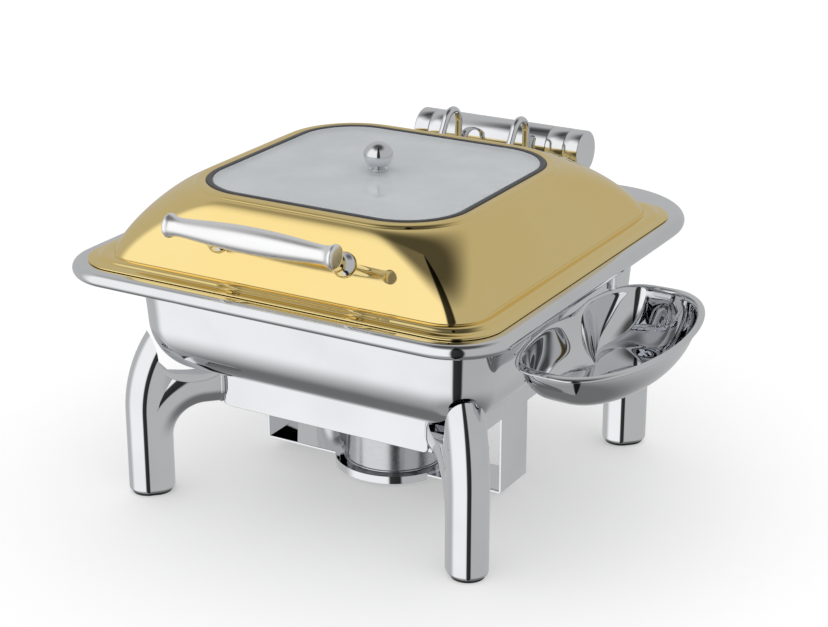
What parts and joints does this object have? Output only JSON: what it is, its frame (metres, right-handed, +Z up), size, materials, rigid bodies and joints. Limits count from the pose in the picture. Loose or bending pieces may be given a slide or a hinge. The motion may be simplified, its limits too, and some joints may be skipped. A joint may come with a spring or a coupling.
{
  "type": "chafing dish",
  "caption": "Square buffet chafing dish: domed window lid hinged at the rear, water and food pans, legged stand, fuel cup and side bowl.",
  "frame": {"origin": "on the floor, midway between the four feet", "axes": "+Z up, -Y towards the handle and the person serving, +X towards the side bowl"},
  "size_m": [0.561, 0.5224, 0.3522],
  "materials": {
    "polished_steel": "mirror polished stainless steel",
    "plain_steel": "fine brushed stainless steel",
    "satin_steel": "satin stainless steel",
    "gold": "mirror polished steel with a pale gold coating",
    "black_pad": "moulded black plastic",
    "seal": "dark silicone seal",
    "glass": "clear tempered glass"
  },
  "bodies": {
    "stand": {"leg_front_left": "polished_steel", "leg_front_right": "polished_steel", "leg_back_left": "polished_steel", "leg_back_right": "polished_steel", "collar_front_left": "polished_steel", "collar_front_right": "polished_steel", "collar_back_left": "polished_steel", "collar_back_right": "polished_steel", "foot_front_left": "black_pad", "foot_front_right": "black_pad", "foot_back_left": "black_pad", "foot_back_right": "black_pad", "corner_front_left": "polished_steel", "corner_front_right": "polished_steel", "corner_back_left": "polished_steel", "corner_back_right": "polished_steel", "rail_front": "polished_steel", "rail_back": "polished_steel", "rail_left": "polished_steel", "rail_right": "polished_steel", "burner_strap": "polished_steel", "water_pan": "polished_steel", "food_pan": "plain_steel", "hinge_seat_left": "polished_steel", "hinge_seat_right": "polished_steel", "hinge_ring_left": "polished_steel", "hinge_ring_right": "polished_steel", "hinge_cap_left": "polished_steel", "hinge_cap_right": "polished_steel", "hinge_axle": "plain_steel", "hinge_damper": "plain_steel", "bowl_post": "polished_steel", "fuel_plate": "polished_steel"},
    "lid": {"lid_shell": "gold", "window_gasket": "seal", "window_glass": "glass", "window_knob": "polished_steel", "knob_nut": "polished_steel", "handle_grip": "satin_steel", "handle_post_left": "polished_steel", "handle_post_right": "polished_steel", "handle_nuts": "polished_steel", "hinge_sleeve": "polished_steel", "lid_arm_left": "polished_steel", "lid_arm_right": "polished_steel", "arm_pads": "polished_steel"},
    "fuel_holder": {"fuel_cup": "plain_steel"},
    "bowl": {"side_bowl": "polished_steel"}
  },
  "joints": [
    {"name": "lid_hinge", "type": "hinge", "parent": "stand", "child": "lid", "pos_m": [0, 0.233, 0.29], "axis": [-1, 0, 0], "range_deg": [0, 90]},
    {"name": "fuel_slide", "type": "slide", "parent": "stand", "child": "fuel_holder", "axis": [0, -1, 0], "range_m": [0, 0.2]},
    {"name": "bowl_slide", "type": "slide", "parent": "stand", "child": "bowl", "axis": [1, 0, 0], "range_m": [0, 0.12]}
  ]
}
